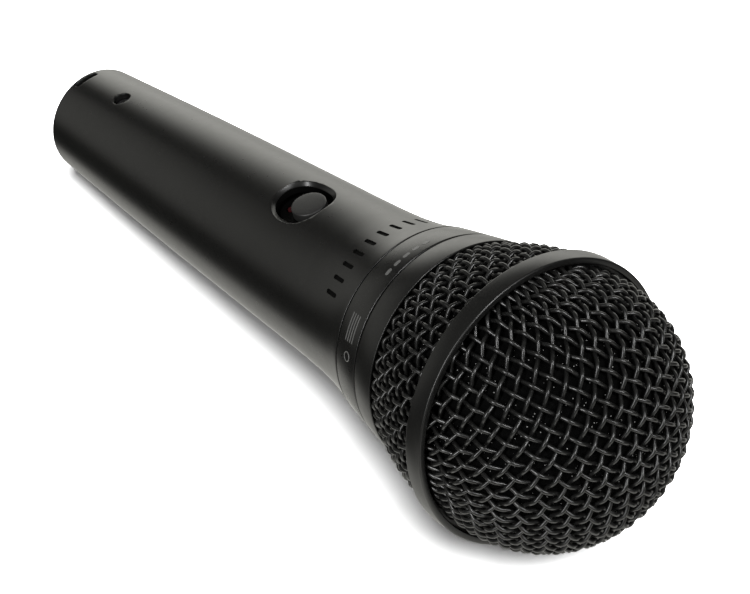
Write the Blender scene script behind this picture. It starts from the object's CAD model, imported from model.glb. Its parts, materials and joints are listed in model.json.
import math
import bmesh
import bpy
import numpy as np
from mathutils import Matrix, Vector
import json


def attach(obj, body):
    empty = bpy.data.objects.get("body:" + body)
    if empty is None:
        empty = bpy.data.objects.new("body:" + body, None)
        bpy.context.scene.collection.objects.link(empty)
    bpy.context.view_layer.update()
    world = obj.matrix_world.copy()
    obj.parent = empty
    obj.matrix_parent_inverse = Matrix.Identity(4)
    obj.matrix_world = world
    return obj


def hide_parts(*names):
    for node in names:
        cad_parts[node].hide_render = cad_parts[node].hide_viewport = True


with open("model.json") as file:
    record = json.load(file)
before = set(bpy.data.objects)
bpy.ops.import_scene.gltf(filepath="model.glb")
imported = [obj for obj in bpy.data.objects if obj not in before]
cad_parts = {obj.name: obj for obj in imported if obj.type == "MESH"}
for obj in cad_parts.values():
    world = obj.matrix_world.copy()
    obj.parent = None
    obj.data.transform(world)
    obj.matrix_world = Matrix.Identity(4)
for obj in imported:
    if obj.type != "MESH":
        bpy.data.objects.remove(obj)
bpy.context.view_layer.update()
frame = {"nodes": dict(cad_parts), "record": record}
MM = 0.001
TAU = 2.0 * math.pi

# ---------------------------------------------------------------------------------------------------------------
# The microphone's own frame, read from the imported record: local x runs along the axis from the tail rim (0) to the
# pole of the dome (170), local z is the switch side, local y is world Y. Millimetres.
# ---------------------------------------------------------------------------------------------------------------
tail_mount = next(m for m in frame["record"]["mounts"] if m["name"] == "tail_face")
AX = -np.array(tail_mount["axis"], float)
AX /= np.linalg.norm(AX)
TILT = math.atan2(AX[2], AX[0])
UP = np.array([-AX[2], 0.0, AX[0]])
YY = np.array([0.0, 1.0, 0.0])
TAIL = np.array(tail_mount["pos_m"], float) - 0.0104 * YY

TAIL_R, BAND_R = 11.5, 26.5
BAND_REAR, BAND_FRONT = 142.15, 145.95
WIRE_D = 0.74                      # wire diameter
DOME_EQ, DOME_POLE = 24.9, 24.05   # outside of the woven dome about the band's front centre
DOME_FULL = 1.3                    # how far it is fuller than a ball, half-way up


def to_world(p):
    """(N, 3) local millimetres to world metres."""
    p = np.asarray(p, float).reshape(-1, 3)
    return TAIL + MM * (p[:, :1] * AX + p[:, 1:2] * YY + p[:, 2:3] * UP)


# ---------------------------------------------------------------------------------------------------------------
# mesh helpers
# ---------------------------------------------------------------------------------------------------------------
def mesh_from(name, verts, faces, sharp=35.0, smooth=True):
    mesh = bpy.data.meshes.new(name)
    mesh.from_pydata([tuple(v) for v in to_world(verts)], [], [tuple(int(i) for i in f) for f in faces])
    mesh.update()
    bm = bmesh.new()
    bm.from_mesh(mesh)
    bmesh.ops.recalc_face_normals(bm, faces=bm.faces)
    bm.to_mesh(mesh)
    bm.free()
    if smooth:
        mesh.shade_smooth()
        if sharp:
            mesh.set_sharp_from_angle(angle=math.radians(sharp))
    return mesh


def obj_from(name, mesh, mat, body, replaces=()):
    obj = bpy.data.objects.new(name, mesh)
    bpy.context.scene.collection.objects.link(obj)
    mesh.materials.clear()
    mesh.materials.append(mat)
    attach(obj, body)
    if replaces:
        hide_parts(*replaces)
    return obj


def fillet(outline, segs=4):
    """Round the corners of a closed (x, r, radius) outline."""
    n = len(outline)
    out = []
    for i in range(n):
        x, r, rad = outline[i]
        if rad <= 0:
            out.append((x, r))
            continue
        p = np.array([x, r])
        a = np.array(outline[i - 1][:2]) - p
        b = np.array(outline[(i + 1) % n][:2]) - p
        la, lb = np.linalg.norm(a), np.linalg.norm(b)
        a, b = a / la, b / lb
        ang = math.acos(max(-1.0, min(1.0, float(a @ b))))
        if ang > math.radians(178):
            out.append((x, r))
            continue
        t = min(rad / math.tan(ang / 2), 0.45 * la, 0.45 * lb)
        rr = t * math.tan(ang / 2)
        centre = p + (a + b) / np.linalg.norm(a + b) * (rr / math.sin(ang / 2))
        s0, s1 = p + a * t - centre, p + b * t - centre
        a0, a1 = math.atan2(s0[1], s0[0]), math.atan2(s1[1], s1[0])
        d = (a1 - a0 + math.pi) % TAU - math.pi
        for k in range(segs + 1):
            ak = a0 + d * k / segs
            out.append((centre[0] + rr * math.cos(ak), centre[1] + rr * math.sin(ak)))
    return out


def lathe(profile, n=128, centre=(0.0, 0.0), rfun=None, phase=0.0):
    """Turn a closed (x, r) outline about an axis parallel to x. Returns verts, faces. rfun(x, r, angle) may vary r."""
    verts, rings = [], []
    ang = TAU * (np.arange(n) + phase) / n
    for x, r in profile:
        if r < 1e-6:
            rings.append([len(verts)])
            verts.append((x, centre[0], centre[1]))
        else:
            rr = rfun(x, r, ang) if rfun is not None else np.full(n, r)
            first = len(verts)
            rings.append(list(range(first, first + n)))
            verts.extend((x, centre[0] - rk * math.sin(a), centre[1] + rk * math.cos(a)) for rk, a in zip(rr, ang))
    faces = []
    m = len(rings)
    for i in range(m):
        a, b = rings[i], rings[(i + 1) % m]
        if len(a) == 1 and len(b) == 1:
            continue
        for k in range(n):
            k2 = (k + 1) % n
            if len(a) == 1:
                faces.append((a[0], b[k], b[k2]))
            elif len(b) == 1:
                faces.append((a[k], b[0], a[k2]))
            else:
                faces.append((a[k], b[k], b[k2], a[k2]))
    return verts, faces


def turned(name, outline, mat, body, n=128, segs=4, sharp=35.0, replaces=(), slot=None, **kw):
    v, f = lathe(fillet(outline, segs), n, **kw)
    return obj_from(name, mesh_from(name, v, f, sharp), mat, body, replaces)


def tubes(lines, radius, sides=8, closed=False):
    """Round bars along lines; each line is (points, normals). Returns verts, faces, every bar closed with end caps."""
    verts, faces = [], []
    base = 0
    ca = np.cos(TAU * np.arange(sides) / sides)
    sa = np.sin(TAU * np.arange(sides) / sides)
    for pts, nrm in lines:
        pts, nrm = np.asarray(pts, float), np.asarray(nrm, float)
        m = len(pts)
        if closed:
            tan = np.roll(pts, -1, 0) - np.roll(pts, 1, 0)
        else:
            tan = np.gradient(pts, axis=0)
        tan /= np.linalg.norm(tan, axis=1)[:, None]
        e1 = nrm - (nrm * tan).sum(1)[:, None] * tan
        e1 /= np.linalg.norm(e1, axis=1)[:, None]
        e2 = np.cross(tan, e1)
        ring = pts[:, None, :] + radius * (ca[None, :, None] * e1[:, None, :] + sa[None, :, None] * e2[:, None, :])
        verts.append(ring.reshape(-1, 3))
        idx = base + np.arange(m * sides).reshape(m, sides)
        nxt = np.roll(idx, -1, 1)
        if closed:
            a, b, c, d = idx, nxt, np.roll(nxt, -1, 0), np.roll(idx, -1, 0)
        else:
            a, b, c, d = idx[:-1], nxt[:-1], nxt[1:], idx[1:]
        faces.extend(np.stack([a, b, c, d], -1).reshape(-1, 4).tolist())
        if not closed:
            faces.append(idx[0][::-1].tolist())
            faces.append(idx[-1].tolist())
        base += m * sides
    return np.concatenate(verts), faces


# ---------------------------------------------------------------------------------------------------------------
# materials
# ---------------------------------------------------------------------------------------------------------------
def new_mat(name, color, rough, metal=0.0, spec=0.5):
    mat = bpy.data.materials.new(name)
    mat.use_nodes = True
    nt = mat.node_tree
    b = nt.nodes["Principled BSDF"]
    b.inputs["Base Color"].default_value = (*color, 1.0)
    b.inputs["Roughness"].default_value = rough
    b.inputs["Metallic"].default_value = metal
    b.inputs["Specular IOR Level"].default_value = spec
    return mat, nt, b


def noise(nt, scale, detail=3.0, rough=0.5, coord=None):
    n = nt.nodes.new("ShaderNodeTexNoise")
    n.inputs["Scale"].default_value = scale
    n.inputs["Detail"].default_value = detail
    n.inputs["Roughness"].default_value = rough
    if coord is None:
        coord = nt.nodes.new("ShaderNodeTexCoord").outputs["Object"]
    nt.links.new(coord, n.inputs["Vector"])
    return n


def ramp(nt, src, lo, hi, c0, c1):
    r = nt.nodes.new("ShaderNodeValToRGB")
    r.color_ramp.elements[0].position = lo
    r.color_ramp.elements[1].position = hi
    r.color_ramp.elements[0].color = (*c0, 1.0) if len(c0) == 3 else c0
    r.color_ramp.elements[1].color = (*c1, 1.0) if len(c1) == 3 else c1
    nt.links.new(src, r.inputs["Fac"])
    return r


def add_bump(nt, b, src, strength, distance, prev=None):
    bp = nt.nodes.new("ShaderNodeBump")
    bp.inputs["Strength"].default_value = strength
    bp.inputs["Distance"].default_value = distance
    nt.links.new(src, bp.inputs["Height"])
    if prev is not None:
        nt.links.new(prev.outputs["Normal"], bp.inputs["Normal"])
    nt.links.new(bp.outputs["Normal"], b.inputs["Normal"])
    return bp


def coated(name, c0, c1, r0, r1, grain=9000.0, bump=0.25, metal=0.0, spec=0.5, mottle=120.0):
    """Painted or moulded surface: slight colour mottle, roughness variation and a fine grain."""
    mat, nt, b = new_mat(name, c0, r0, metal, spec)
    tc = nt.nodes.new("ShaderNodeTexCoord").outputs["Object"]
    m = noise(nt, mottle, 4.0, 0.6, tc)
    col = ramp(nt, m.outputs["Fac"], 0.3, 0.7, c0, c1)
    nt.links.new(col.outputs["Color"], b.inputs["Base Color"])
    m2 = noise(nt, mottle * 6.0, 3.0, 0.6, tc)
    rr = ramp(nt, m2.outputs["Fac"], 0.25, 0.75, (r0,) * 3, (r1,) * 3)
    nt.links.new(rr.outputs["Color"], b.inputs["Roughness"])
    g = noise(nt, grain, 2.0, 0.5, tc)
    add_bump(nt, b, g.outputs["Fac"], bump, 0.00003)
    return mat


M_PAINT = coated("handle_paint", (0.0052, 0.0052, 0.0050), (0.0066, 0.0066, 0.0063), 0.27, 0.31, 7000.0, 0.04, spec=0.5)
M_RING = coated("ring_paint", (0.0060, 0.0060, 0.0058), (0.0075, 0.0075, 0.0072), 0.26, 0.31, 9000.0, 0.05, spec=0.5)
M_BAND = coated("band_paint", (0.0055, 0.0055, 0.0053), (0.0070, 0.0070, 0.0067), 0.30, 0.35, 9000.0, 0.16, spec=0.5)
M_WIRE = coated("wire_paint", (0.0065, 0.0065, 0.0063), (0.0100, 0.0100, 0.0096), 0.27, 0.33, 5000.0, 0.08, spec=0.6, mottle=500.0)
M_BUTTON = coated("button_plastic", (0.017, 0.017, 0.017), (0.022, 0.022, 0.0215), 0.38, 0.45, 9000.0, 0.5, mottle=400.0)
M_PLATE = coated("plate_plastic", (0.0012, 0.0012, 0.0012), (0.0022, 0.0022, 0.0021), 0.55, 0.65, 9000.0, 0.3, spec=0.05)
M_INSERT = coated("insert_plastic", (0.010, 0.010, 0.010), (0.014, 0.014, 0.014), 0.42, 0.52, 8000.0, 0.3)
M_HOUSING = coated("housing_plastic", (0.018, 0.018, 0.018), (0.024, 0.024, 0.023), 0.40, 0.5, 8000.0, 0.3)
M_RUBBER = coated("mount_rubber", (0.012, 0.012, 0.012), (0.018, 0.018, 0.018), 0.7, 0.85, 6000.0, 0.4, spec=0.3)
M_FILL = coated("engraving_dark", (0.0012, 0.0012, 0.0012), (0.0022, 0.0022, 0.0021), 0.6, 0.7, 9000.0, 0.2, spec=0.08)
M_PRINT = coated("ring_print", (0.11, 0.11, 0.108), (0.14, 0.14, 0.137), 0.42, 0.5, 9000.0, 0.1)
M_RED = coated("mark_red", (0.045, 0.003, 0.005), (0.035, 0.0025, 0.004), 0.5, 0.6, 8000.0, 0.2, spec=0.3)
M_BOARD = coated("board_green", (0.02, 0.11, 0.045), (0.025, 0.14, 0.055), 0.35, 0.45, 6000.0, 0.2)
M_LEVER = coated("lever_plastic", (0.72, 0.72, 0.70), (0.78, 0.78, 0.76), 0.4, 0.5, 6000.0, 0.2)
M_FILM = coated("diaphragm_film", (0.62, 0.57, 0.40), (0.68, 0.62, 0.45), 0.18, 0.28, 3000.0, 0.1)
M_LEAD_R = coated("lead_red", (0.42, 0.02, 0.02), (0.5, 0.03, 0.03), 0.35, 0.45, 6000.0, 0.2)
M_LEAD_K = coated("lead_black", (0.015, 0.015, 0.015), (0.02, 0.02, 0.02), 0.35, 0.45, 6000.0, 0.2)
M_LEAD_G = coated("lead_green", (0.02, 0.22, 0.06), (0.03, 0.28, 0.08), 0.35, 0.45, 6000.0, 0.2)
M_PIN = coated("plated_contact", (0.72, 0.71, 0.67), (0.78, 0.77, 0.73), 0.16, 0.26, 9000.0, 0.15, metal=1.0)
M_STEEL = coated("screw_steel", (0.012, 0.012, 0.0125), (0.018, 0.018, 0.0185), 0.45, 0.55, 9000.0, 0.3, metal=0.0, spec=0.3)
M_CAN = coated("switch_metal", (0.50, 0.50, 0.48), (0.58, 0.58, 0.56), 0.28, 0.4, 7000.0, 0.2, metal=1.0)
M_YOKE = coated("yoke_steel", (0.40, 0.40, 0.39), (0.46, 0.46, 0.45), 0.3, 0.42, 7000.0, 0.25, metal=1.0)
M_MAGNET = coated("magnet_plated", (0.46, 0.46, 0.46), (0.52, 0.52, 0.52), 0.2, 0.3, 7000.0, 0.15, metal=1.0)
M_BRASS = coated("ring_brass", (0.52, 0.38, 0.16), (0.60, 0.44, 0.2), 0.26, 0.38, 7000.0, 0.2, metal=1.0)
M_COIL = coated("coil_copper", (0.62, 0.30, 0.15), (0.70, 0.36, 0.2), 0.3, 0.4, 5000.0, 0.4, metal=1.0)
M_FELT = coated("felt_grey", (0.17, 0.165, 0.15), (0.24, 0.23, 0.21), 0.9, 1.0, 3500.0, 1.0, spec=0.1, mottle=900.0)


def foam_material():
    mat, nt, b = new_mat("foam_black", (0.004, 0.004, 0.004), 0.9, 0.0, 0.08)
    tc = nt.nodes.new("ShaderNodeTexCoord").outputs["Object"]
    v = nt.nodes.new("ShaderNodeTexVoronoi")
    v.inputs["Scale"].default_value = 2600.0
    v.inputs["Randomness"].default_value = 1.0
    nt.links.new(tc, v.inputs["Vector"])
    # a few cell tips catch the light
    sp = nt.nodes.new("ShaderNodeTexVoronoi")
    sp.inputs["Scale"].default_value = 1500.0
    nt.links.new(tc, sp.inputs["Vector"])
    near = ramp(nt, sp.outputs["Distance"], 0.10, 0.17, (1, 1, 1), (0, 0, 0))
    pick = nt.nodes.new("ShaderNodeSeparateColor")
    nt.links.new(sp.outputs["Color"], pick.inputs["Color"])
    few = nt.nodes.new("ShaderNodeMath")
    few.operation = "GREATER_THAN"
    few.inputs[1].default_value = 0.60
    nt.links.new(pick.outputs["Red"], few.inputs[0])
    both = nt.nodes.new("ShaderNodeMath")
    both.operation = "MULTIPLY"
    nt.links.new(near.outputs["Color"], both.inputs[0])
    nt.links.new(few.outputs["Value"], both.inputs[1])
    mix = nt.nodes.new("ShaderNodeMix")
    mix.data_type = "RGBA"
    mix.inputs[6].default_value = (0.0010, 0.0010, 0.0010, 1)
    mix.inputs[7].default_value = (0.42, 0.42, 0.41, 1)
    nt.links.new(both.outputs["Value"], mix.inputs[0])
    nt.links.new(mix.outputs[2], b.inputs["Base Color"])
    add_bump(nt, b, v.outputs["Distance"], 1.0, 0.00025)
    return mat


M_FOAM = foam_material()

# ---------------------------------------------------------------------------------------------------------------
# handle
# ---------------------------------------------------------------------------------------------------------------
WALL = 2.2
HANDLE = [(0.3, 11.517), (13.0, 12.26), (26.0, 13.02), (39.58, 13.76), (54.0, 14.47), (67.85, 15.11), (79.0, 15.62),
          (90.47, 16.15), (96.5, 16.52), (101.78, 16.99), (106.2, 17.62), (110.0, 18.42), (113.0, 19.27)]


def spline_radius(points):
    """Smooth monotone curve through (x, r) points (cubic Hermite with finite-difference slopes)."""
    xs = np.array([p[0] for p in points])
    rs = np.array([p[1] for p in points])
    slopes = np.gradient(rs, xs)

    def at(x):
        x = np.clip(np.asarray(x, float), xs[0], xs[-1])
        i = np.clip(np.searchsorted(xs, x) - 1, 0, len(xs) - 2)
        h = xs[i + 1] - xs[i]
        t = (x - xs[i]) / h
        return ((2 * t ** 3 - 3 * t ** 2 + 1) * rs[i] + (t ** 3 - 2 * t ** 2 + t) * h * slopes[i]
                + (-2 * t ** 3 + 3 * t ** 2) * rs[i + 1] + (t ** 3 - t ** 2) * h * slopes[i + 1])
    return at


handle_r = spline_radius(HANDLE)
NECK_R, BORE_R = 17.7, 15.4
THREAD_X0, THREAD_X1, THREAD_PITCH, THREAD_H = 120.2, 125.0, 1.0, 0.42


def thread_r(x, r, ang):
    """Helical ridges on the neck."""
    if r > NECK_R - 0.6 and THREAD_X0 <= x <= THREAD_X1:
        u = (x / THREAD_PITCH - ang / TAU) % 1.0
        ridge = 0.5 + 0.5 * np.cos(TAU * u)
        fade = min(1.0, (x - THREAD_X0) / 0.5, (THREAD_X1 - x) / 0.5)
        return r - THREAD_H * (1.0 - ridge) * max(0.0, fade)
    return np.full(len(ang), r)


outer = [(float(x), float(handle_r(x))) for x in np.linspace(0.75, 112.6, 150)]
handle_outline = fillet([(0.0, TAIL_R - 0.02, 0.42)] + [(x, r, 0) for x, r in outer] + [(113.0, 19.26, 0.25), (113.0, NECK_R - 0.1, 0)], 5)
handle_outline = [(0.0, 10.6)] + handle_outline
thread_part = [(x, NECK_R) for x in np.arange(119.8, 125.21, 0.1)]
inner = fillet([(125.5, NECK_R - 0.3, 0.15), (125.5, BORE_R, 0.3), (107.5, BORE_R, 0), (101.78, 16.99 - WALL, 0), (90.47, 16.15 - WALL, 0),
                (67.85, 15.11 - WALL, 0), (39.58, 13.76 - WALL, 0), (27.5, 10.8, 0), (25.5, 8.6, 0), (22.3, 8.6, 0), (22.3, 9.6, 0),
                (0.0, 9.6, 0.3)], 3)
handle_profile = handle_outline + thread_part + inner
hv, hf = lathe(handle_profile, 192, rfun=thread_r)
handle = obj_from("handle_body", mesh_from("handle_body", hv, hf, None), M_PAINT, "handle", ["handle_shell"])


def superellipse(half_l, half_w, n, power=2.3):
    t = TAU * np.arange(n) / n
    c, s = np.cos(t), np.sin(t)
    return np.c_[half_l * np.sign(c) * np.abs(c) ** (2 / power), half_w * np.sign(s) * np.abs(s) ** (2 / power)]


def surface_cutter(name, cx, outline, flare, bottom, ends=1.0):
    """Cutter that follows the handle's surface: flare is a list of (depth below the surface, growth), top to bottom.
    ends is the part of the growth that is left at the two ends along the handle."""
    n = len(outline)
    nx = np.roll(outline, -1, 0) - np.roll(outline, 1, 0)
    nrm = np.c_[nx[:, 1], -nx[:, 0]]
    nrm /= np.linalg.norm(nrm, axis=1)[:, None]
    verts = []
    for depth, grow in flare:
        q = outline + nrm * (grow * (ends + (1.0 - ends) * nrm[:, 1:] ** 2))
        z = np.sqrt(np.maximum(handle_r(cx + q[:, 0]) ** 2 - q[:, 1] ** 2, 1.0)) - depth
        verts.append(np.c_[cx + q[:, 0], q[:, 1], z])
    verts.append(np.c_[cx + outline[:, 0], outline[:, 1], np.full(n, bottom)])
    verts = np.concatenate(verts)
    rings = len(flare) + 1
    faces = []
    for i in range(rings - 1):
        for k in range(n):
            k2 = (k + 1) % n
            faces.append((i * n + k, i * n + k2, (i + 1) * n + k2, (i + 1) * n + k))
    faces.append(tuple(range(n)))
    faces.append(tuple((rings - 1) * n + k for k in reversed(range(n))))
    obj = bpy.data.objects.new(name, mesh_from(name, verts, faces, None, smooth=False))
    bpy.context.scene.collection.objects.link(obj)
    return obj


def boolean(obj, tools, op="DIFFERENCE"):
    """Apply the booleans and drop the cutters."""
    for t in tools:
        mod = obj.modifiers.new("cut", "BOOLEAN")
        mod.operation, mod.solver, mod.object = op, "EXACT", t
    dg = bpy.context.evaluated_depsgraph_get()
    done = bpy.data.meshes.new_from_object(obj.evaluated_get(dg), preserve_all_data_layers=True, depsgraph=dg)
    done.name = obj.name
    obj.modifiers.clear()
    mats = [m for m in obj.data.materials]
    obj.data = done
    done.materials.clear()
    for m in mats[:1]:
        done.materials.append(m)
    for p in done.polygons:
        p.material_index = 0
    for t in tools:
        bpy.data.objects.remove(t, do_unlink=True)


def round_flare(width, up=3.0, steps=5):
    """Flare of a rounded rim of the given radius."""
    out = [(-up, width + up)]
    for k in range(steps + 1):
        a = math.pi / 2 * k / steps
        out.append((width * (1 - math.cos(a)), width * (1 - math.sin(a))))
    return out


def pill(s0, s1, x0, x1, rad, steps=4):
    """Rounded rectangle as stations (s, x_lo, x_hi) along s."""
    rad = min(rad, 0.5 * (x1 - x0) - 1e-3, 0.5 * (s1 - s0) - 1e-3)
    left = [(s0 + rad * (1 - math.cos(t)), rad * (1 - math.sin(t))) for t in np.linspace(0.0, math.pi / 2, steps + 1)]
    n_mid = max(1, int((s1 - s0 - 2 * rad) / 0.6))
    mid = [(v, 0.0) for v in np.linspace(s0 + rad, s1 - rad, n_mid + 1)[1:-1]]
    right = [(s0 + s1 - p, q) for p, q in left[::-1]]
    return [(p, x0 + q, x1 - q) for p, q in left + mid + right]


def radial_strip(stations, angle, radius_at, top, bottom, across=3):
    """Closed slab on a turned surface. Stations are (s, x_lo, x_hi): s is the arc length in mm round the surface from
    the given angle, and the slab runs from radius_at(x) + bottom to radius_at(x) + top."""
    verts, faces = [], []
    m = across + 1
    for level in (top, bottom):
        for s, lo, hi in stations:
            for x in np.linspace(lo, hi, m):
                r = float(radius_at(x))
                t = angle + s / r
                verts.append((x, -(r + level) * math.sin(t), (r + level) * math.cos(t)))
    n = len(stations)

    def vid(level, i, k):
        return (level * n + i) * m + k
    for i in range(n - 1):
        for k in range(across):
            faces.append((vid(0, i, k), vid(0, i, k + 1), vid(0, i + 1, k + 1), vid(0, i + 1, k)))
            faces.append((vid(1, i, k), vid(1, i + 1, k), vid(1, i + 1, k + 1), vid(1, i, k + 1)))
        faces.append((vid(0, i, 0), vid(0, i + 1, 0), vid(1, i + 1, 0), vid(1, i, 0)))
        faces.append((vid(0, i, across), vid(1, i, across), vid(1, i + 1, across), vid(0, i + 1, across)))
    for k in range(across):
        faces.append((vid(0, 0, k), vid(1, 0, k), vid(1, 0, k + 1), vid(0, 0, k + 1)))
        faces.append((vid(0, n - 1, k), vid(0, n - 1, k + 1), vid(1, n - 1, k + 1), vid(1, n - 1, k)))
    return verts, faces


def merge(parts):
    verts, faces = [], []
    for v, f in parts:
        base = len(verts)
        verts.extend(v)
        faces.extend(tuple(base + i for i in q) for q in f)
    return verts, faces


SWITCH_X, RECESS_L, RECESS_W = 82.9, 6.30, 5.80   # outside of the recess's chamfer
CHAMFER, ROUND = 0.85, 0.10
SCREW_X, SCREW_R = 16.85, 2.0


def chamfer_flare(width, depth, rnd):
    """Flare of a flat chamfer that meets the surface and the wall in small rounds; the outline is the wall's."""
    return [(-3.0, width + 3.0), (-0.02, width + rnd * 0.9), (rnd * 0.25, width), (rnd, width - rnd * 0.8),
            (depth - rnd * 0.7, rnd * 0.55), (depth, rnd * 0.12), (depth + rnd, 0.0)]


CHAMFER_ENDS = 0.41                                # the chamfer is narrower at the ends than at the sides
recess_wall = superellipse(RECESS_L - CHAMFER_ENDS * CHAMFER, RECESS_W - CHAMFER, 120)
cut_tools = [surface_cutter("c_recess", SWITCH_X, recess_wall, chamfer_flare(CHAMFER, 0.80, ROUND), 8.0, CHAMFER_ENDS),
             surface_cutter("c_screw", SCREW_X, superellipse(SCREW_R - 0.15, SCREW_R - 0.15, 48, 2.0), round_flare(0.15, 3.0, 4), 7.0),
             surface_cutter("c_latch", 1.8, superellipse(0.75, 2.65, 48, 5.0), round_flare(0.12, 3.0, 3), 7.0)]
# a plain row of engraved bars, like a scale
bars = []
for k in range(10):
    t = math.radians(42.0 - 84.0 * k / 9.0)
    bars.append(radial_strip(pill(-0.42, 0.42, 104.6, 108.0, 0.40), t, handle_r, 1.2, -0.30))
v, f = merge(bars)
bar_cutter = bpy.data.objects.new("c_bars", mesh_from("c_bars", v, f, None, smooth=False))
bpy.context.scene.collection.objects.link(bar_cutter)
boolean(handle, cut_tools + [bar_cutter])
handle.data.shade_smooth()
handle.data.set_sharp_from_angle(angle=math.radians(50))

# the recess wall below the chamfer is bare black plastic
handle.data.materials.append(M_PLATE)
for poly in handle.data.polygons:
    loc = (np.array(poly.center) - TAIL) / MM
    lx, ly, lz = float(loc @ AX), float(loc[1]), float(loc @ UP)
    if abs(lx - SWITCH_X) < 6.7 and abs(ly) < 6.0 and 8.0 < lz and math.hypot(ly, lz) < float(handle_r(lx)) - 0.86:
        poly.material_index = 1

# dark floor of the engraved bars
fills = []
for k in range(10):
    t = math.radians(42.0 - 84.0 * k / 9.0)
    fills.append(radial_strip(pill(-0.36, 0.36, 104.66, 107.94, 0.34), t, handle_r, -0.24, -0.5))
v, f = merge(fills)
obj_from("engraving_fill", mesh_from("engraving_fill", v, f, 40), M_FILL, "handle", ["handle_shell"])


# ---------------------------------------------------------------------------------------------------------------
# switch button, insert, pins, set screw
# ---------------------------------------------------------------------------------------------------------------
def stand_up(verts, cx, cy=0.0):
    """A lathe made about x, turned to stand about local z at (cx, cy)."""
    return [(cx - z, cy + y, x) for x, y, z in verts]


def box(x0, x1, y0, y1, z0, z1):
    v = [(x, y, z) for x in (x0, x1) for y in (y0, y1) for z in (z0, z1)]
    f = [(0, 1, 3, 2), (4, 6, 7, 5), (0, 4, 5, 1), (2, 3, 7, 6), (0, 2, 6, 4), (1, 5, 7, 3)]
    return v, f


BUTTON_X, BUTTON_R = 84.6, 3.36
crown = [(15.56, 0.0), (15.555, 1.0), (15.53, 2.0), (15.48, 2.8)]
side = fillet([(15.48, 2.8, 0), (15.42, BUTTON_R, 0.42), (13.6, BUTTON_R, 0.12), (13.6, 1.2, 0)], 6)
v, f = lathe(crown + side[1:-1] + [(13.6, 0.0)], 96)
cap_part = (stand_up(v, BUTTON_X), f)
stem_part = box(BUTTON_X - 0.95, BUTTON_X + 0.95, -0.95, 0.95, 10.4, 13.75)
v, f = merge([cap_part, stem_part])
obj_from("button_cap", mesh_from("button_cap", v, f, 38), M_BUTTON, "switch", ["switch_button"])

v, f = lathe(fillet([(11.1, 0.0, 0), (11.1, 1.65, 0.15), (9.65, 1.65, 0.1), (9.65, 0.0, 0)], 3), 48)
screw = obj_from("set_screw_body", mesh_from("set_screw_body", stand_up(v, SCREW_X), f, 35), M_STEEL, "handle", ["insert_set_screw"])
hexa = [(SCREW_X + 0.85 * math.cos(TAU * k / 6), 0.85 * math.sin(TAU * k / 6)) for k in range(6)]
hv = [(x, y, z) for z in (10.2, 13.0) for x, y in hexa]
hf = [tuple(range(6)), tuple(range(11, 5, -1))] + [(k, (k + 1) % 6, 6 + (k + 1) % 6, 6 + k) for k in range(6)]
hex_cutter = bpy.data.objects.new("c_hex", mesh_from("c_hex", hv, hf, None, smooth=False))
bpy.context.scene.collection.objects.link(hex_cutter)
boolean(screw, [hex_cutter])
screw.data.shade_smooth()
screw.data.set_sharp_from_angle(angle=math.radians(35))


def keyway(x, r, ang):
    """Groove for the plug's key, on the switch side of the insert's cup."""
    out = np.full(len(ang), r)
    if 7.5 < r < 8.6 and x < 15.5:
        a = np.abs((ang + math.pi) % TAU - math.pi)
        out = out + 0.75 * (a < math.radians(9.5))
    return out


insert_outline = fillet([(3.0, 9.3, 0.3), (22.0, 9.3, 0.3), (22.0, 8.05, 0.2), (19.0, 8.05, 0), (19.0, 0.0, 0), (16.0, 0.0, 0),
                         (16.0, 8.05, 0.2), (3.0, 8.05, 0.35)], 4)
v, f = lathe(insert_outline, 160, rfun=keyway)
insert = obj_from("insert_body", mesh_from("insert_body", v, f, 40), M_INSERT, "handle", ["xlr_insert"])
PINS = (("xlr_pin_1", -4.5, 0.0), ("xlr_pin_2", 4.5, 0.0), ("xlr_pin_3", 0.0, -4.5))
holes = []
for name, py, pz in PINS:
    v, f = lathe([(14.0, 0.0), (14.0, 1.45), (21.0, 1.45), (21.0, 0.0)], 32, centre=(py, pz))
    o = bpy.data.objects.new("c_" + name, mesh_from("c_" + name, v, f, None, smooth=False))
    bpy.context.scene.collection.objects.link(o)
    holes.append(o)
boolean(insert, holes)
insert.data.shade_smooth()
insert.data.set_sharp_from_angle(angle=math.radians(40))
for name, py, pz in PINS:
    turned(name + "_contact", [(4.2, 0.0, 0), (4.2, 1.2, 0.85), (21.6, 1.2, 0.15), (21.6, 0.0, 0)], M_PIN, "handle", 40, segs=6,
           centre=(py, pz), replaces=[name], slot="plated_contact")

turned("shock_mount_body", [(111.5, 15.05, 0.4), (114.3, 15.05, 0.4), (115.2, 13.3, 0.5), (118.0, 13.3, 0.5), (118.9, 15.05, 0.4),
                            (121.5, 15.05, 0.4), (121.5, 11.4, 0.3), (111.5, 11.4, 0.3)], M_RUBBER, "handle", 128,
       replaces=["shock_mount"], slot="mount_rubber")
turned("mount_ring_body", [(121.8, 15.05, 0.3), (124.6, 15.05, 0.3), (124.6, 11.4, 0.3), (121.8, 11.4, 0.3)], M_BRASS, "handle", 128,
       replaces=["mount_ring"], slot="ring_brass")
turned("cartridge_body", [(109.5, 11.05, 0.4), (133.6, 11.05, 0.6), (135.2, 12.8, 0.6), (141.6, 12.8, 0.35), (141.6, 11.6, 0.2),
                          (134.5, 11.6, 0), (134.5, 9.5, 0), (112.0, 9.5, 0), (112.0, 2.0, 0), (109.5, 2.0, 0.2)], M_HOUSING,
       "cartridge", 128, replaces=["cartridge_housing"], slot="housing_plastic")
v, f = lathe(fillet([(137.8, 11.25, 0.2), (140.2, 11.25, 0.4), (141.3, 9.2, 0.6), (141.9, 0.0, 0), (140.9, 0.0, 0), (140.2, 9.0, 0.4),
                     (137.8, 9.9, 0.2)], 4), 128)
cap = obj_from("resonator_cap_body", mesh_from("resonator_cap_body", v, f, 35), M_HOUSING, "cartridge", ["resonator_cap"])
holes = []
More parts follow.
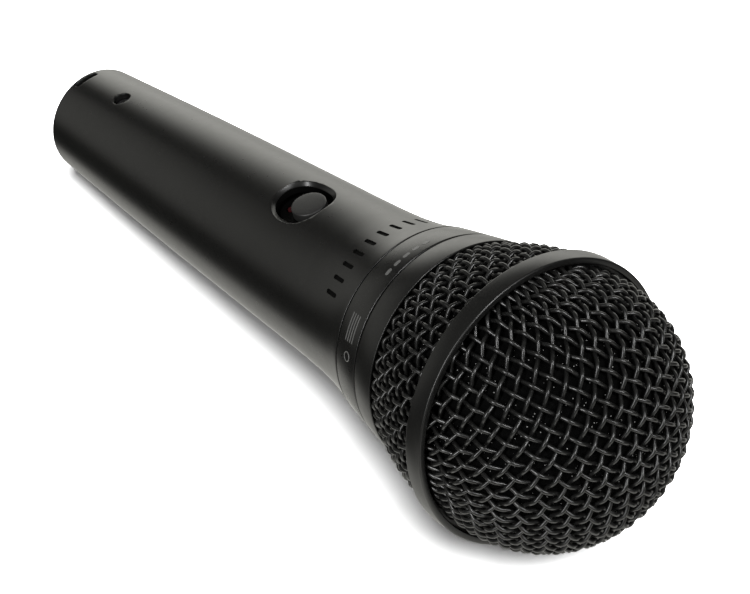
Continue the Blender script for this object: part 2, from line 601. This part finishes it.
for k in range(6):
    a = TAU * k / 6
    v, f = lathe([(138.5, 0.0), (138.5, 1.3), (144.0, 1.3), (144.0, 0.0)], 36, centre=(5.2 * math.cos(a), 5.2 * math.sin(a)))
    o = bpy.data.objects.new("c_cap_%d" % k, mesh_from("c_cap_%d" % k, v, f, None, smooth=False))
    bpy.context.scene.collection.objects.link(o)
    holes.append(o)
boolean(cap, holes)
cap.data.shade_smooth()
cap.data.set_sharp_from_angle(angle=math.radians(35))

# ---------------------------------------------------------------------------------------------------------------
# rings
# ---------------------------------------------------------------------------------------------------------------
turned("label_ring_body", [(113.26, 19.31, 0.22), (119.82, 20.52, 0.25), (119.82, 18.0, 0.1), (113.26, 18.0, 0.1)], M_RING, "handle", 192,
       replaces=["label_ring"], slot="ring_paint")
# plain printed marks on the label ring: five dashes, four lines and a small ring
def ring_r(x):
    return 19.31 + (x - 113.22) * (20.54 - 19.31) / (119.9 - 113.22)


prints = []
for k in range(5):
    t = math.radians(-8.5 + 6.2 * k)
    prints.append(radial_strip(pill(-0.75, 0.75, 117.15, 117.95, 0.38), t, ring_r, 0.03, -0.15))
for k in range(4):
    x = 115.5 + 0.75 * k
    prints.append(radial_strip(pill(0.0, 5.2, x, x + 0.28, 0.12), math.radians(42.0), ring_r, 0.03, -0.15))
t = TAU * np.arange(40) / 40
ring_pts = []
for a in t:
    x = 117.0 + 0.85 * math.sin(a)
    ang = math.radians(64.5) + 0.85 * math.cos(a) / 20.0
    ring_pts.append((x, -ring_r(x) * math.sin(ang), ring_r(x) * math.cos(ang)))
ring_pts = np.array(ring_pts)
ring_nrm = ring_pts * np.array([0.0, 1.0, 1.0])
v, f = tubes([(ring_pts, ring_nrm)], 0.11, 6, closed=True)
prints.append((v.tolist(), f))
v, f = merge(prints)
obj_from("label_marks", mesh_from("label_marks", v, f, 40), M_PRINT, "handle", ["label_ring"])



turned("collar_body", [(120.16, 20.60, 0.34), (125.72, 21.56, 0.16), (125.72, 21.15, 0.1), (124.5, 21.0, 0), (124.5, 19.3, 0),
                       (125.3, 19.2, 0.1), (125.3, 18.15, 0.2), (120.12, 18.15, 0.2)], M_BAND, "grille", 192,
       replaces=["grille_collar"], slot="band_paint")
turned("band_body", [(BAND_REAR, BAND_R, 0.3), (BAND_FRONT, BAND_R, 0.3), (BAND_FRONT, 25.35, 0.2), (145.0, 25.3, 0.1), (145.0, 25.85, 0.1),
                     (144.2, 25.85, 0), (144.2, 23.4, 0.1), (143.75, 23.4, 0.1), (143.75, 25.85, 0),
                     (BAND_REAR, 25.85, 0.2)], M_BAND, "grille", 256, replaces=["grille_band"], slot="band_paint")

# ---------------------------------------------------------------------------------------------------------------
# woven wire
# ---------------------------------------------------------------------------------------------------------------
AMP = 0.45                        # half the height of the crimp


def dome_r(lat):
    return DOME_POLE + (DOME_EQ - DOME_POLE + DOME_FULL * np.sin(lat)) * np.maximum(0.0, np.cos(lat)) ** 1.7


def fishnet(step, count):
    """Chebyshev net on the unit sphere from the pole (1, 0, 0): every cell is a rhombus of equal sides, as in a woven
    square mesh drawn over a ball. Returns points [u, v] for u, v from -count to count."""
    net = np.zeros((2 * count + 1, 2 * count + 1, 3))
    k = np.arange(count + 1) * step
    for su in (1, -1):
        for sv in (1, -1):
            p = np.zeros((count + 1, count + 1, 3))
            p[:, 0] = np.c_[np.cos(k), su * np.sin(k), 0 * k]
            p[0, :] = np.c_[np.cos(k), 0 * k, sv * np.sin(k)]
            for s in range(2, 2 * count + 1):
                i = np.arange(max(1, s - count), min(count, s - 1) + 1)
                j = s - i
                a, b, c = p[i, j - 1], p[i - 1, j], p[i - 1, j - 1]
                n = np.cross(a, b)
                n /= np.maximum(np.linalg.norm(n, axis=1, keepdims=True), 1e-12)
                p[i, j] = c - 2 * (c * n).sum(1, keepdims=True) * n
            for i in range(count + 1):
                net[count + su * i, count + sv * np.arange(count + 1)] = p[i]
    return net


NET_STEP, NET_N = 0.012, 150
NET = fishnet(NET_STEP, NET_N)
PITCH_A, PITCH_B = 2.535 / 24.4, 2.51 / 24.4   # radians of arc
I0, J0 = 7.293, 2.140
NET_TURN = math.radians(221.0)                  # direction of the first family at the pole, from up towards -Y
SAMPLES = 10


def net_at(u, v):
    """Bilinear look-up of the net, turned to its place. Returns unit directions (x, y, z) in local axes."""
    a = np.clip(u / NET_STEP + NET_N, 0, 2 * NET_N - 1.001)
    b = np.clip(v / NET_STEP + NET_N, 0, 2 * NET_N - 1.001)
    i, j = a.astype(int), b.astype(int)
    fa, fb = (a - i)[:, None], (b - j)[:, None]
    p = (NET[i, j] * (1 - fa) * (1 - fb) + NET[i + 1, j] * fa * (1 - fb) + NET[i, j + 1] * (1 - fa) * fb + NET[i + 1, j + 1] * fa * fb)
    p /= np.linalg.norm(p, axis=1)[:, None]
    c, s = math.cos(NET_TURN), math.sin(NET_TURN)
    # first family along angle t from up towards -Y, second along t - 90 degrees
    up = p[:, 1] * c + p[:, 2] * s
    side = p[:, 1] * s - p[:, 2] * c
    return np.c_[p[:, 0], -side, up]


MESH_BASE = 144.3 - BAND_FRONT                  # the dome's lower edge, inside the band


def on_dome(dirs, lift):
    """Points on the dome's middle surface plus lift along its normal, and the normals."""
    rho = np.hypot(dirs[:, 1], dirs[:, 2])
    lat = np.arctan2(dirs[:, 0], rho)
    ry, rz = dirs[:, 1] / np.maximum(rho, 1e-9), dirs[:, 2] / np.maximum(rho, 1e-9)
    ball = lat >= 0
    mid = dome_r(lat) - AMP - WIRE_D / 2
    x = np.where(ball, (mid + lift) * np.sin(lat), lat * (DOME_EQ - AMP - WIRE_D / 2))
    r = np.where(ball, (mid + lift) * np.cos(lat), DOME_EQ - AMP - WIRE_D / 2 + lift)
    pts = np.c_[BAND_FRONT + x, r * ry, r * rz]
    nrm = np.where(ball[:, None], dirs, np.c_[0 * ry, ry, rz])
    return pts, nrm, x


def dome_wires(first):
    lines = []
    pitch_u, pitch_v, u0, v0 = (PITCH_A, PITCH_B, I0, J0)
    reach = int(1.75 / 0.1)
    for fixed in range(-reach - 12, reach + 13):
        t = np.arange((-reach - 12) * SAMPLES, (reach + 12) * SAMPLES + 1) / SAMPLES
        if first:
            u, v = pitch_u * (t - u0), np.full(len(t), pitch_v * (fixed - v0))
            lift = AMP * np.cos(math.pi * (t + fixed))
        else:
            u, v = np.full(len(t), pitch_u * (fixed - u0)), pitch_v * (t - v0)
            lift = -AMP * np.cos(math.pi * (t + fixed))
        ok = (np.abs(u) < 1.78) & (np.abs(v) < 1.78)
        # second family's index grows opposite to the turned direction
        dirs = net_at(u, v)
        pts, nrm, x = on_dome(dirs, lift)
        ok &= (x > MESH_BASE) & (dirs[:, 0] > -0.2)
        idx = np.where(ok)[0]
        if len(idx) == 0:
            continue
        for run in np.split(idx, np.where(np.diff(idx) > 1)[0] + 1):
            if len(run) >= SAMPLES:
                lines.append((pts[run], nrm[run]))
    return lines


for nm, first in (("dome_wires_warp", True), ("dome_wires_weft", False)):
    v, f = tubes(dome_wires(first), WIRE_D / 2, 8)
    obj_from(nm, mesh_from(nm, v, f, 60), M_WIRE, "grille", ["dome_mesh"])

SKIRT_ROWS = np.array([146.0, 143.5, 141.05, 138.6, 136.15, 133.7, 131.25, 128.85, 126.55, 124.3])   # row index -3 .. 6
SKIRT_N, SKIRT_0 = 66, 12.6                      # wires round, and the angle of wire 0 from up towards -Y


def skirt_r(x):
    t = (x - 125.7) / (BAND_REAR - 125.7)
    return np.where(x >= BAND_REAR, 25.5, 21.15 + 4.35 * t + 3.6 * t * (1 - t))


def skirt_point(x, ang, lift):
    h = 0.01
    slope = (skirt_r(x + h) - skirt_r(x - h)) / (2 * h)
    nx, nr = -slope / np.sqrt(1 + slope ** 2), 1 / np.sqrt(1 + slope ** 2)
    r = skirt_r(x) - AMP - WIRE_D / 2 + lift * nr
    xx = x + lift * nx
    return np.c_[xx, -r * np.sin(ang), r * np.cos(ang)], np.c_[nx, -nr * np.sin(ang), nr * np.cos(ang)]


round_lines = []
for row in range(-1, 6):
    k = np.arange(SKIRT_N * SAMPLES) / SAMPLES
    ang = np.radians(SKIRT_0 + 360.0 / SKIRT_N * k)
    x = np.full(len(k), SKIRT_ROWS[row + 3])
    # over where wire number plus row is odd
    round_lines.append(skirt_point(x, ang, -AMP * np.cos(math.pi * (k + row))))
v, f = tubes(round_lines, WIRE_D / 2, 8, closed=True)
obj_from("skirt_wires_round", mesh_from("skirt_wires_round", v, f, 60), M_WIRE, "grille", ["lower_mesh"])
long_lines = []
for k in range(SKIRT_N):
    j = np.arange(-1.95 * SAMPLES, 5.45 * SAMPLES) / SAMPLES
    x = np.interp(j, np.arange(-3, 7), SKIRT_ROWS)
    ang = np.full(len(j), math.radians(SKIRT_0 + 360.0 / SKIRT_N * k))
    long_lines.append(skirt_point(x, ang, AMP * np.cos(math.pi * (k + j))))
v, f = tubes(long_lines, WIRE_D / 2, 8)
obj_from("skirt_wires_long", mesh_from("skirt_wires_long", v, f, 60), M_WIRE, "grille", ["lower_mesh"])

# foam liners behind the wires
lat = np.radians(np.linspace(0, 90, 46))
F0, F1 = 1.75, 4.0
prof = [(144.35, DOME_EQ - F0)] + [(BAND_FRONT + (dome_r(a) - F0) * math.sin(a), max(0.0, (dome_r(a) - F0) * math.cos(a))) for a in lat]
prof[-1] = (prof[-1][0], 0.0)
back = [(BAND_FRONT + (dome_r(a) - F1) * math.sin(a), max(0.0, (dome_r(a) - F1) * math.cos(a))) for a in lat[::-1]] + [(144.35, DOME_EQ - F1)]
back[0] = (back[0][0], 0.0)
v, f = lathe(prof + back, 128)
foam_dome = obj_from("foam_dome_liner", mesh_from("foam_dome_liner", v, f, 40), M_FOAM, "grille", ["foam_dome"])
fx = np.linspace(126.2, 143.9, 24)
v, f = lathe([(x, float(skirt_r(x)) - F0) for x in fx] + [(x, float(skirt_r(x)) - F1) for x in fx[::-1]], 128)
foam_sleeve = obj_from("foam_skirt_liner", mesh_from("foam_skirt_liner", v, f, 40), M_FOAM, "grille", ["foam_sleeve"])

# ---------------------------------------------------------------------------------------------------------------
# CAD nodes that stay, with their own materials
# ---------------------------------------------------------------------------------------------------------------
KEEP = {"switch_plate": M_PLATE, "switch_mark": M_RED, "switch_body": M_CAN, "switch_board": M_BOARD, "board_screw_1": M_STEEL,
        "board_screw_2": M_STEEL, "lead_cartridge_hot": M_LEAD_R,
        "lead_cartridge_cold": M_LEAD_K, "lead_output_hot": M_LEAD_R, "lead_output_cold": M_LEAD_K, "lead_output_ground": M_LEAD_G,
        "diaphragm": M_FILM, "diaphragm_ring": M_HOUSING,
        "voice_coil": M_COIL, "magnet": M_MAGNET, "pole_piece": M_YOKE, "magnet_yoke": M_YOKE, "acoustic_felt": M_FELT,
        "cartridge_terminal_hot": M_PIN, "cartridge_terminal_cold": M_PIN, "switch_lever": M_LEVER}
for node, mat in KEEP.items():
    o = frame["nodes"][node]
    o.data.materials.clear()
    o.data.materials.append(mat)
    o.data.shade_smooth()
    o.data.set_sharp_from_angle(angle=math.radians(32))

# ---------------------------------------------------------------------------------------------------------------
# stage, lights, camera
# ---------------------------------------------------------------------------------------------------------------
scene = bpy.context.scene
scene.view_settings.view_transform = "Standard"
floor_mesh = bpy.data.meshes.new("floor")
S = 20.0
floor_mesh.from_pydata([(-S, -S, 0), (S, -S, 0), (S, S, 0), (-S, S, 0)], [], [(0, 1, 2, 3)])
floor = bpy.data.objects.new("floor", floor_mesh)
scene.collection.objects.link(floor)
fm, fnt, fb = new_mat("floor_white", (0.25, 0.25, 0.25), 0.7, 0.0, 0.0)
fb.inputs["Emission Color"].default_value = (1.0, 1.0, 1.0, 1.0)
# contact shade, close under the object
ao = fnt.nodes.new("ShaderNodeAmbientOcclusion")
ao.samples = 16
ao.inputs["Distance"].default_value = 0.006
shade = ramp(fnt, ao.outputs["AO"], 0.30, 0.90, (0.04,) * 3, (0.06,) * 3)
fnt.links.new(shade.outputs["Color"], fb.inputs["Emission Strength"])
floor_mesh.materials.append(fm)
floor.visible_glossy = False
floor.visible_diffuse = False

# soft studio light: large soft-edged panels round the microphone, as (azimuth from, to, elevation from, to, softness,
# strength), in degrees
AMBIENT = 0.02
TINT = (1.0, 0.993, 0.925)
PANELS = [(90.0, 163.0, -9.0, 19.0, 16.0, 1.95),     # white wall behind
          (90.0, 168.0, -50.0, -9.0, 10.0, 0.80),    # table behind
          (181.0, 222.0, -4.0, 28.0, 12.0, 0.46),    # card on the left
          (0.0, 360.0, -95.0, -33.0, 10.0, 0.74),    # table close by
          (0.0, 360.0, 30.0, 95.0, 20.0, 0.08),      # ceiling
          (270.0, 380.0, 0.0, 60.0, 20.0, 0.16),       # front right
          (235.0, 375.0, -60.0, -15.0, 14.0, 0.80)]     # table in front
world = bpy.data.worlds.new("studio")
scene.world = world
world.use_nodes = True
wt = world.node_tree
bg = wt.nodes["Background"]
bg.inputs["Strength"].default_value = 1.0
split = wt.nodes.new("ShaderNodeSeparateXYZ")
wt.links.new(wt.nodes.new("ShaderNodeTexCoord").outputs["Generated"], split.inputs[0])


def wmath(op, a, b=None):
    m = wt.nodes.new("ShaderNodeMath")
    m.operation = op
    for k, v in enumerate((a, b)):
        if v is None:
            continue
        if isinstance(v, (int, float)):
            m.inputs[k].default_value = v
        else:
            wt.links.new(v, m.inputs[k])
    return m.outputs[0]


def window(src, half, soft):
    """1 inside half degrees, fading to 0 over the softness."""
    r = wt.nodes.new("ShaderNodeMapRange")
    r.interpolation_type = "SMOOTHSTEP"
    wt.links.new(src, r.inputs["Value"])
    r.inputs["From Min"].default_value = math.radians(half - soft / 2)
    r.inputs["From Max"].default_value = math.radians(half + soft / 2)
    r.inputs["To Min"].default_value = 1.0
    r.inputs["To Max"].default_value = 0.0
    return r.outputs["Result"]


elevation = wmath("ARCSINE", split.outputs["Z"])
total = AMBIENT
for az0, az1, el0, el1, soft, strength in PANELS:
    off = wmath("ABSOLUTE", wmath("SUBTRACT", elevation, math.radians((el0 + el1) / 2)))
    w = window(off, (el1 - el0) / 2, soft)
    if az1 - az0 < 359.0:
        c = math.radians((az0 + az1) / 2)
        xr = wmath("ADD", wmath("MULTIPLY", split.outputs["X"], math.cos(c)), wmath("MULTIPLY", split.outputs["Y"], math.sin(c)))
        yr = wmath("SUBTRACT", wmath("MULTIPLY", split.outputs["Y"], math.cos(c)), wmath("MULTIPLY", split.outputs["X"], math.sin(c)))
        w = wmath("MULTIPLY", w, window(wmath("ABSOLUTE", wmath("ARCTAN2", yr, xr)), (az1 - az0) / 2, soft))
    total = wmath("ADD", wmath("MULTIPLY", w, strength), total)
warm = wt.nodes.new("ShaderNodeCombineColor")
for socket, share in zip(warm.inputs, TINT):
    wt.links.new(wmath("MULTIPLY", total, share), socket)
wt.links.new(warm.outputs["Color"], bg.inputs["Color"])
world.cycles.sampling_method = "NONE"


def softbox(name, az, el, distance, width, height, radiance):
    """Upright strip box aimed at the head, given by its brightness."""
    data = bpy.data.lights.new(name, "AREA")
    data.shape = "RECTANGLE"
    data.size, data.size_y = width, height
    data.energy = radiance * math.pi * width * height
    o = bpy.data.objects.new(name, data)
    scene.collection.objects.link(o)
    a, e = math.radians(az), math.radians(el)
    d = Vector((math.cos(e) * math.cos(a), math.cos(e) * math.sin(a), math.sin(e)))
    o.location = Vector((0.04, 0.0, 0.03)) + d * distance
    o.rotation_euler = d.to_track_quat("Z", "Y").to_euler()
    return o


# large soft lamp for the floor only
floor_lamp_data = bpy.data.lights.new("floor_lamp", "SUN")
floor_lamp_data.energy = 52.0
floor_lamp_data.angle = math.radians(42.0)
floor_lamp_data.specular_factor = 0.0
floor_lamp = bpy.data.objects.new("floor_lamp", floor_lamp_data)
scene.collection.objects.link(floor_lamp)
lamp_az, lamp_el = math.radians(2.0), math.radians(61.0)
floor_lamp.rotation_euler = Vector((math.cos(lamp_el) * math.cos(lamp_az), math.cos(lamp_el) * math.sin(lamp_az),
                                    math.sin(lamp_el))).to_track_quat("Z", "Y").to_euler()
floor_only = bpy.data.collections.new("floor_only")
floor_only.objects.link(floor)
floor_lamp.light_linking.receiver_collection = floor_only

softbox("front_strip_right", 15.0, 38.0, 1.0, 0.14, 0.75, 21.0)
softbox("front_strip_left", 285.0, 42.0, 1.0, 0.14, 0.75, 21.0)

# camera: fitted to the outlines, expressed in the microphone's own frame
F_PX = 2200.4
CAM_C = np.array([28.36388, 17.96197, 369.12065])      # band-front centre in camera axes (right, down, forward), mm
CAM_D = np.array([0.5992101, 0.38316653, -0.70294428])
CAM_U = np.array([-0.06323005, -0.8526381, -0.51866197])
CAM_W = np.array([-0.79809098, 0.35523469, -0.48668172])
ROLL = math.radians(13.3)
up_c = math.cos(ROLL) * CAM_U + math.sin(ROLL) * CAM_W
wp_c = -math.sin(ROLL) * CAM_U + math.cos(ROLL) * CAM_W
ct, st = math.cos(TILT), math.sin(TILT)
Xw, Zw, Yw = ct * CAM_D - st * up_c, st * CAM_D + ct * up_c, -wp_c
p0 = TAIL + MM * BAND_FRONT * AX
loc = p0 - MM * np.array([CAM_C @ Xw, CAM_C @ Yw, CAM_C @ Zw])
right = Vector((Xw[0], Yw[0], Zw[0])).normalized()
upv = -Vector((Xw[1], Yw[1], Zw[1]))
backv = -Vector((Xw[2], Yw[2], Zw[2])).normalized()
upv = (upv - upv.dot(right) * right).normalized()
backv = right.cross(upv).normalized()
cam_data = bpy.data.cameras.new("camera")
cam_data.sensor_width = 36.0
cam_data.lens = F_PX / 750.0 * 36.0
cam_data.clip_start, cam_data.clip_end = 0.01, 20.0
cam = bpy.data.objects.new("camera", cam_data)
scene.collection.objects.link(cam)
rot = Matrix((right, upv, backv)).transposed()
cam.matrix_world = Matrix.Translation(Vector(loc)) @ rot.to_4x4()
scene.camera = cam

import json
